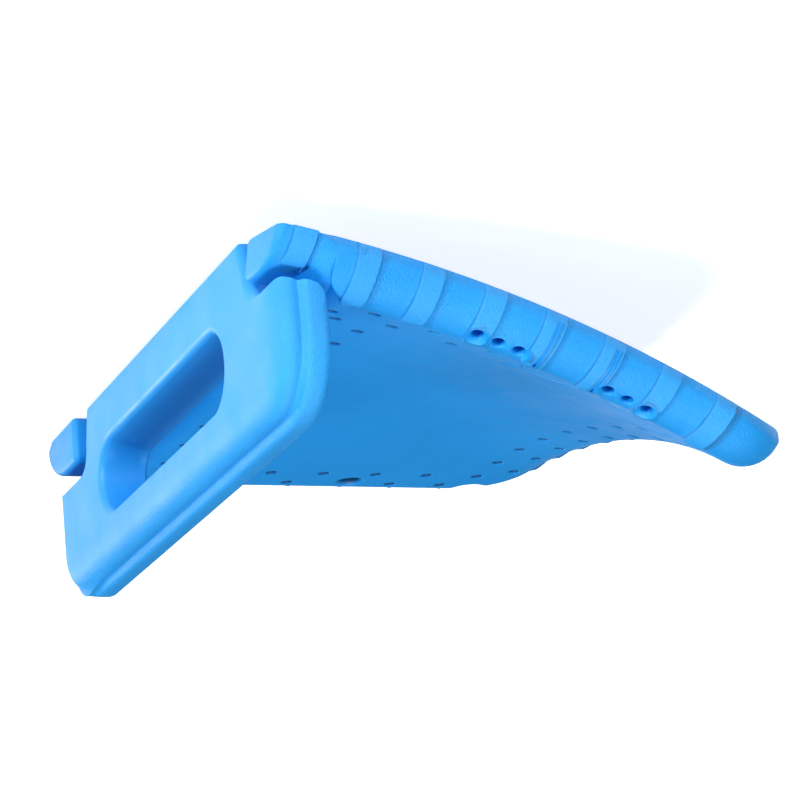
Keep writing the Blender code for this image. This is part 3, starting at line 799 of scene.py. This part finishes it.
def handlePlate():
    # a plate with a deep rounded shoulder on its outer face, a crease behind it and a flange at the back
    outline = [(y * mm, handle["low"], 1.0) for y in range(-100, 101, 20)]
    outline += sideOutline(1)
    outline += [(y * mm, handle["high"], 0.0) for y in range(100, -101, -20)]
    outline += [(-y, z, neck) for y, z, neck in reversed(sideOutline(-1))]
    count = len(outline)
    normals = []
    for i, (y, z, neck) in enumerate(outline):
        before = Vector(outline[i - 1][:2])
        after = Vector(outline[(i + 1) % count][:2])
        here = Vector((y, z))
        along = ((here - before).normalized() + (after - here).normalized()).normalized()
        normals.append(Vector((along.y, -along.x)))
    rings = []
    for k in range(len(shoulderEdge)):
        ring = []
        for (y, z, neck), normal in zip(outline, normals):
            shoulder = shoulderEdge[k][0]
            if grooveRings[0] < k < grooveRings[1]:
                start, end, fade = handle["grooveFade"]
                shoulder *= 1 - fade * smoothstep(start, end, y)
            inset = shoulder * (1 - neck) + neckEdge[k][0] * neck
            depth = shoulderEdge[k][1] * (1 - neck) + neckEdge[k][1] * neck
            x = handle["outerX"] - depth * mm
            ring.append((x, y - normal.x * inset * mm, z - normal.y * inset * mm))
        rings.append(ring)
    bm = bmesh.new()
    grain = bm.verts.layers.float.new("skinGrain")
    for k, loop in enumerate(skinLoft(bm, rings)):    # faint on the outer face, full past its edge
        for vert in loop:
            vert[grain] = min(1.0, handle["faceGrain"] + handle["grainStep"] * k)
    return meshPiece("handlePlate", bm)


past = ((3.0 * mm, 1.5 * mm), (0.02 * mm, 0.1 * mm))    # how far a cutter runs past a face, and flares


def throughStations(edge, backEdge, taper):
    # (x, growth) of a cutter through the plate, which rounds the rim of its opening at both faces
    stations = [(handle["outerX"] + run, edge + flare) for run, flare in past]
    for turn in (8, 20, 34, 48, 62, 76, 90):
        angle = math.radians(turn)
        stations.append((handle["outerX"] - edge * (1 - math.cos(angle)), edge * (1 - math.sin(angle))))
    for turn in (90, 76, 62, 48, 34, 20, 8):
        angle = math.radians(turn)
        grow = backEdge * (1 - math.sin(angle)) - taper
        stations.append((handle["innerX"] + backEdge * (1 - math.cos(angle)), grow))
    return stations + [(handle["innerX"] - run, backEdge + flare - taper) for run, flare in reversed(past)]


def gripCutter():
    radius = grip["height"] / 2
    centreZ = grip["low"] + radius
    centreY = grip["length"] / 2 - radius
    rings = []
    for x, grow in throughStations(grip["edge"], grip["backEdge"], grip["taper"]):
        ring = arc(centreY, centreZ, radius + grow, radius + grow, -90, 90, 28)
        ring += arc(-centreY, centreZ, radius + grow, radius + grow, 90, 270, 28)
        rings.append([(x, y, z) for y, z in ring])
    return loftPiece("gripCut", rings)


def notchCutter(side):
    rings = []
    for x, grow in throughStations(handle["notchEdge"], handle["notchBackEdge"], 0.0):
        neck = handle["neckY"][side] - grow
        inward = min(max((handle["outerX"] - x) / (handle["outerX"] - handle["innerX"]), 0.0), 1.0)
        outerStep, innerStep = handle["step"]
        step = outerStep + inward ** 3 * (innerStep - outerStep) + grow
        corner = handle["neckCorner"]
        fillet = handle["neckFillet"]
        low = neck - handle["neckTaper"] - corner
        ring = [(low - 6 * mm, -6 * mm), (low - 3 * mm, handle["low"] - 0.8 * mm)]
        ring += arc(low, handle["low"] + corner, corner, corner, -84, 0, 10)
        ring += arc(neck + fillet, step - fillet, fillet, fillet, 180, 90, 16)
        farY = handle["endY"][side] + 8 * mm
        ring += [(neck + fillet + 6 * mm, step), (farY, step), (farY, -6 * mm)]
        rings.append([(x, side * y, z) for y, z in ring])
    return loftPiece("notchNear" if side < 0 else "notchFar", rings)


# ---- the hinge

hinge = {
    "x": 107.4 * mm,
    "z": 11.6 * mm,
    "pinRadius": 2.0,
    "pinLow": {-1: 79.2, 1: 67.8},
    "pinHigh": 121.3,
    "fit": 0.3,
    "wall": 1.7,
    "sleeveLow": {-1: 76.9, 1: 65.5},
    "sleeveHigh": {-1: 100.9, 1: 89.5},
    "seatRadius": 4.3,
    "seatPast": (0.6, 6.0),            # how far a seat runs past its sleeve's low and high end
    "boreRadius": 2.3,
    "boreEnds": (100.0, 121.6),
}


def axisPlace(side):
    # turns a lathed piece so that its height runs along the hinge, towards this end of the case
    turn = Matrix.Rotation(math.radians(-90 * side), 4, "X")
    return Matrix.Translation((hinge["x"], 0, hinge["z"])) @ turn


def hingePin(side):
    radius = hinge["pinRadius"]
    low = hinge["pinLow"][side]
    high = hinge["pinHigh"]
    profile = [(radius - 0.5, low), (radius - 0.15, low + 0.15), (radius, low + 0.5)]
    profile += [(radius, low + (high - low) * k / 8) for k in range(1, 8)]
    profile += [(radius, high - 0.5), (radius - 0.15, high - 0.15), (radius - 0.5, high)]
    return lathePiece("pinShape", profile, 48, axisPlace(side))


def hingeSleeve(side):
    inner = hinge["pinRadius"] + hinge["fit"]
    outer = inner + hinge["wall"]
    low = hinge["sleeveLow"][side]
    high = hinge["sleeveHigh"][side]
    middle = 0.5 * (low + high)
    profile = [(inner, low + 0.3), (inner + 0.3, low), (outer - 0.3, low), (outer, low + 0.3)]
    profile += [(outer, middle), (outer, high - 0.4), (outer - 0.12, high - 0.1), (outer - 0.4, high)]
    profile += [(inner + 0.4, high), (inner + 0.1, high - 0.1), (inner, high - 0.4), (inner, middle)]
    turn = axisPlace(side)
    rings = []
    for radius, height in profile + profile[:1]:
        ring = arc(0, 0, radius * mm, radius * mm, 0, 360, 56)[:-1]
        rings.append([turn @ Vector((x, y, height * mm)) for x, y in ring])
    return loftPiece("sleeveShape", rings, closed=False)


# ---- finishes


def startFinish(name):
    finish = bpy.data.materials.new(name)
    finish.use_nodes = True
    tree = finish.node_tree
    return finish, tree, tree.nodes["Principled BSDF"]


def finishShader(tree, shader, colour, gloss, bumps):
    tree.links.new(colour.outputs[2], shader.inputs["Base Color"])
    tree.links.new(gloss.outputs[0], shader.inputs["Roughness"])
    tree.links.new(bumps.outputs[0], shader.inputs["Normal"])


foam = {
    "base": "0A94E6",               # dyed EVA, the blue of the back plate
    "pale": "149DF0",               # where the skin is thinner and scatters more
    "deep": "0684D6",
    "wearAndSheen": "66C2FB",               # rib tops and edges that hands have polished; the same pale tint laid evenly over the whole handle is painted sheen
    "dent": "034A82",               # stands for the shade in the dimples and on the walls of the ribs
    "dentShade": 0.85,
    "wallShade": 0.45,
    "rubbed": 0.12,                 # how much more worn the rib tops are than the skin round them
    "cell": 0.62,                   # width of the skin's grain, in millimetres
    "swell": 7.0,                   # of its slow unevenness
    "cloud": 90.0,                  # and of the patches of paler blue
    "roughness": (0.43, 0.56),
    "swellBump": (0.14, 0.25 * mm), # strength and distance
    "poreDepth": 0.03 * mm,
    "cellDepth": 0.45 * mm,
    "leastGrain": 0.12,             # the share of the grain that the smoothest skin keeps
}


def foamFinish(name, paintedSheen, grain):
    # closed-cell EVA foam, hot pressed in a mould: matt, slightly waxy skin with a fine cell grain
    finish, tree, shader = startFinish(name)
    spot = addNode(tree, "ShaderNodeTexCoord", {}, {}).outputs["Object"]
    fine, slow, patchy = 1000 / foam["cell"], 1000 / (2 * foam["swell"]), 1000 / foam["cloud"]
    cells = addNode(tree, noise, {}, {"Vector": spot, "Scale": fine, "Detail": 2.0, "Roughness": 0.55})
    pores = addNode(tree, "ShaderNodeTexVoronoi", {"feature": "F1"}, {"Vector": spot, "Scale": fine})
    swell = addNode(tree, noise, {}, {"Vector": spot, "Scale": slow, "Detail": 3.0, "Roughness": 0.5})
    cloud = addNode(tree, noise, {}, {"Vector": spot, "Scale": patchy, "Detail": 2.0})
    tone = addNode(tree, "ShaderNodeValToRGB", {}, {"Fac": cloud})
    for stop, place, tint in zip(tone.color_ramp.elements, (0.3, 0.7), ("base", "pale")):
        stop.position = place
        stop.color = linear(foam[tint])
    speck = addNode(tree, remap, {}, {"Value": cells, "From Min": 0.3, "From Max": 0.7, "To Max": 0.22})
    colour = addNode(tree, colourMix, colours, {0: speck, 6: tone, 7: linear(foam["deep"])})
    lift = addNode(tree, "ShaderNodeAttribute", {"attribute_name": "ribLift"}, {}).outputs["Fac"]
    # the piece's own lightening mixes the pale tint evenly over all of it: painted sheen, which makes the
    # handle a paler, lit copy of the case's foam; the rib tops add real wear on top of that
    most = paintedSheen + foam["rubbed"]
    rubbed = addNode(
        tree, remap, {},
        {"Value": lift, "From Min": 0.1, "From Max": 1.0, "To Min": paintedSheen, "To Max": most}
    )
    # painted shade: the walls of the ribs, half way up the lift, are painted a little darker than top and
    # foot
    below = addNode(tree, calc, minus, {0: 1.0, 1: lift})
    wall = addNode(tree, calc, times, {0: lift, 1: below})
    crease = addNode(
        tree, remap, {},
        {"Value": wall, "From Min": 0.02, "From Max": 0.24, "To Max": foam["wallShade"]}
    )
    # dimples and the camera hole carry a negative lift and are painted darker, for the shade in them
    sunk = addNode(tree, remap, {}, {"Value": lift, "From Max": -1.0, "To Max": foam["dentShade"]})
    for share, tint in ((rubbed, "wearAndSheen"), (crease, "dent"), (sunk, "dent")):
        under = colour.outputs[2]
        colour = addNode(tree, colourMix, colours, {0: share, 6: under, 7: linear(foam[tint])})
    least, most = foam["roughness"]
    gloss = addNode(
        tree, remap, {},
        {"Value": swell, "From Min": 0.3, "From Max": 0.7, "To Min": least, "To Max": most}
    )
    strength, distance = foam["swellBump"]
    wavy = addNode(tree, bump, {}, {"Strength": strength, "Distance": distance, "Height": swell})
    share = addNode(tree, "ShaderNodeAttribute", {"attribute_name": "skinGrain"}, {}).outputs["Fac"]
    least = foam["leastGrain"] * grain
    depth = addNode(tree, remap, {}, {"Value": share, "To Min": least, "To Max": grain})
    dip = addNode(tree, remap, {}, {"Value": pores, "From Max": 0.35})
    pitted = addNode(
        tree, bump, {},
        {"Strength": depth, "Distance": foam["poreDepth"], "Height": dip, "Normal": wavy}
    )
    rough = addNode(
        tree, bump, {},
        {"Strength": depth, "Distance": foam["cellDepth"], "Height": cells, "Normal": pitted}
    )
    finishShader(tree, shader, colour, gloss, rough)
    shader.inputs["IOR"].default_value = 1.48
    shader.inputs["Specular IOR Level"].default_value = 0.45
    return finish


steel = {                         # drawn rod: fine scratches run along the pin
    "scale": (4000, 160, 4000),
    "tones": ("A9ABAE", "C6C8CB"),
    "roughness": (0.22, 0.4),
    "bump": (0.3, 0.02 * mm),     # strength and distance
    "shader": {"Metallic": 1.0},
}
nylon = {                         # injection moulded, satin, with a faint flow pattern
    "scale": (420, 420, 420),
    "tones": ("E2E1DC", "F2F1EC"),
    "roughness": (0.34, 0.5),
    "bump": (0.25, 0.03 * mm),
    "shader": {"IOR": 1.53},
}


def hardFinish(name, look):
    finish, tree, shader = startFinish(name)
    spot = addNode(tree, "ShaderNodeTexCoord", {}, {}).outputs["Object"]
    stretched = addNode(tree, "ShaderNodeMapping", {}, {"Vector": spot, "Scale": look["scale"]})
    lines = addNode(tree, noise, {}, {"Vector": stretched, "Scale": 1.0, "Detail": 3.0}).outputs["Fac"]
    dark, light = [linear(tone) for tone in look["tones"]]
    tone = addNode(tree, colourMix, colours, {0: lines, 6: dark, 7: light})
    least, most = look["roughness"]
    gloss = addNode(tree, remap, {}, {"Value": lines, "To Min": least, "To Max": most})
    strength, distance = look["bump"]
    marks = addNode(tree, bump, {}, {"Strength": strength, "Distance": distance, "Height": lines})
    finishShader(tree, shader, tone, gloss, marks)
    for socket, value in look["shader"].items():
        shader.inputs[socket].default_value = value
    return finish


caseFoam = foamFinish("blue EVA foam of the case", 0.0, 1.0)
# the handle's foam is a paler copy of the case's, for a painted sheen
handleFoam = foamFinish("blue EVA foam of the handle", 0.1, 0.9)
pinSteel = hardFinish("drawn steel", steel)
sleeveNylon = hardFinish("white nylon", nylon)
print("finishes made")


# ---- build

ribTree = rimRibTree()
onPoints = repeatTree()
peelBend = peelTree()
shift = (case["originShift"], 0.0, 0.0)

flat = flatCase()
print("flat case", len(flat.data.polygons), "faces")
ears = [earPiece(-1), earPiece(1)]
joinOrCut(flat, "UNION", ears, "MANIFOLD")
cornerEnd = case["cornerRadius"] - 1.2 * mm    # the ribs stop this far from the corners
outline = {"End Y": case["endY"], "Free X": case["freeX"], "Corner": cornerEnd, "Finish": caseFoam}
useTree(flat, ribTree, ribs | outline)
boreLine = [(hinge["boreRadius"], end) for end in hinge["boreEnds"]]
bores = [lathePiece(f"earBore{side}", boreLine, 40, axisPlace(side)) for side in (-1, 1)]
cutters = [dimpleCutter(onPoints, caseFoam), speakerCutter(onPoints, caseFoam)]
cutters += [cameraCutter(), scoopCutter(), tongueCutter()]
joinOrCut(flat, "DIFFERENCE", cutters, "MANIFOLD")
useTree(flat, peelBend, peel | {"Finish": caseFoam})
joinOrCut(flat, "DIFFERENCE", bores, "MANIFOLD")
caseBody = bakedPiece(flat, "foamCase", caseFoam, move=shift)
print("case shaped")

plate = handlePlate()
handleCuts = [gripCutter(), notchCutter(-1), notchCutter(1)]
seats = []
for side in (-1, 1):
    seatLow = hinge["sleeveLow"][side] - hinge["seatPast"][0]
    seatHigh = hinge["sleeveHigh"][side] + hinge["seatPast"][1]
    seatLine = [(hinge["seatRadius"], seatLow), (hinge["seatRadius"], seatHigh)]
    seats.append(lathePiece(f"sleeveSeat{side}", seatLine, 48, axisPlace(side)))
joinOrCut(plate, "DIFFERENCE", handleCuts + seats, "MANIFOLD")
handleBody = bakedPiece(plate, "foamHandle", handleFoam, move=shift)
print("handle shaped")

for tool in ears + cutters + bores + handleCuts + seats:
    bpy.data.objects.remove(tool)

pieces = [(caseBody, "case", "case_body", "case_foam"), (handleBody, "handle", "handle", "handle_foam")]
for end, side in (("near", -1), ("far", 1)):
    pin = bakedPiece(hingePin(side), f"pin{end.capitalize()}", pinSteel, 30, shift)
    sleeve = bakedPiece(hingeSleeve(side), f"sleeve{end.capitalize()}", sleeveNylon, 30, shift)
    pieces.append((pin, "case", f"hinge_pin_{end}", "pin_steel"))
    pieces.append((sleeve, "handle", f"hinge_sleeve_{end}", "sleeve_nylon"))
for piece, body, node, slot in pieces:
    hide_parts(node)
    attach(piece, body)
print("pieces set on their bodies")


# ---- floor, light and camera

stage = {"floorTone": "F4F5F6", "floorReach": 6.0, "floorDrop": 0.3 * mm, "glow": 0.8, "worldStrength": 0.1}
bm = bmesh.new()
reach = stage["floorReach"]
corners = [bm.verts.new((x * reach, y * reach, 0.0)) for x, y in ((-1, -1), (1, -1), (1, 1), (-1, 1))]
bm.faces.new(corners)
floorMesh = bpy.data.meshes.new("floor")
bm.to_mesh(floorMesh)
bm.free()
floor = linkedObject("floor", floorMesh)
floor.location.z = -stage["floorDrop"]
paper = bpy.data.materials.new("white studio paper")
paper.use_nodes = True
tree = paper.node_tree
shader = tree.nodes["Principled BSDF"]
shader.inputs["Base Color"].default_value = linear(stage["floorTone"])
shader.inputs["Roughness"].default_value = 0.9
ray = addNode(tree, "ShaderNodeLightPath", {}, {})
seen = addNode(tree, calc, largest, {0: ray.outputs["Is Camera Ray"], 1: ray.outputs["Is Glossy Ray"]})
seen = addNode(tree, calc, largest, {0: seen, 1: ray.outputs["Is Transmission Ray"]})
amount = addNode(tree, calc, times, {0: seen, 1: stage["glow"]})
tree.links.new(amount.outputs[0], shader.inputs["Emission Strength"])
shader.inputs["Emission Color"].default_value = (1, 1, 1, 1)
floorMesh.materials.append(paper)

world = bpy.data.worlds.new("studio")
bpy.context.scene.world = world
world.use_nodes = True
sky = world.node_tree.nodes["Background"].inputs
sky["Color"].default_value = (1, 1, 1, 1)
sky["Strength"].default_value = stage["worldStrength"]


def softLamp(name, place, target, width, power):
    data = bpy.data.lights.new(name, "AREA")
    data.shape = "DISK"
    data.size = width
    data.energy = power
    lamp = linkedObject(name, data)
    lamp.location = place
    lamp.rotation_euler = (Vector(target) - Vector(place)).to_track_quat("-Z", "Y").to_euler()


softLamp("keySoftbox", (1.6, -0.8, 0.1), (0, 0, 0.03), 0.36, 25)
softLamp("sheenSoftbox", (2.3, 3.6, 0.2), (0.1, 0, 0.04), 1.2, 85)
softLamp("frontSoftbox", (0.1, -1.7, 0.12), (0, 0, 0.02), 0.5, 9)
softLamp("topSoftbox", (0.1, -0.4, 1.7), (0, 0, 0.02), 0.9, 24)

camera = {
    "place": (437.9 * mm + case["originShift"], -932.9 * mm, 344.5 * mm),
    "ahead": (-0.3938, 0.8691, -0.2992),
    "above": (0.0278, -0.3141, -0.9490),    # the photo was taken with its camera upside down
    "sensor": 36,
    "focalPixels": 2798,
    "picturePixels": 800,
}
cameraPlace = Vector(camera["place"])
ahead = Vector(camera["ahead"]).normalized()
above = Vector(camera["above"])
above = (above - ahead * above.dot(ahead)).normalized()
aside = ahead.cross(above)
view = bpy.data.cameras.new("photoView")
view.sensor_width = camera["sensor"]
view.lens = camera["focalPixels"] / camera["picturePixels"] * camera["sensor"]
view.clip_start = 0.01
viewer = linkedObject("photoView", view)
viewer.matrix_world = Matrix((
    (aside.x, above.x, -ahead.x, cameraPlace.x),
    (aside.y, above.y, -ahead.y, cameraPlace.y),
    (aside.z, above.z, -ahead.z, cameraPlace.z),
    (0, 0, 0, 1),
))
bpy.context.scene.camera = viewer
bpy.context.scene.view_settings.view_transform = "Standard"
print("floor, light and camera set")
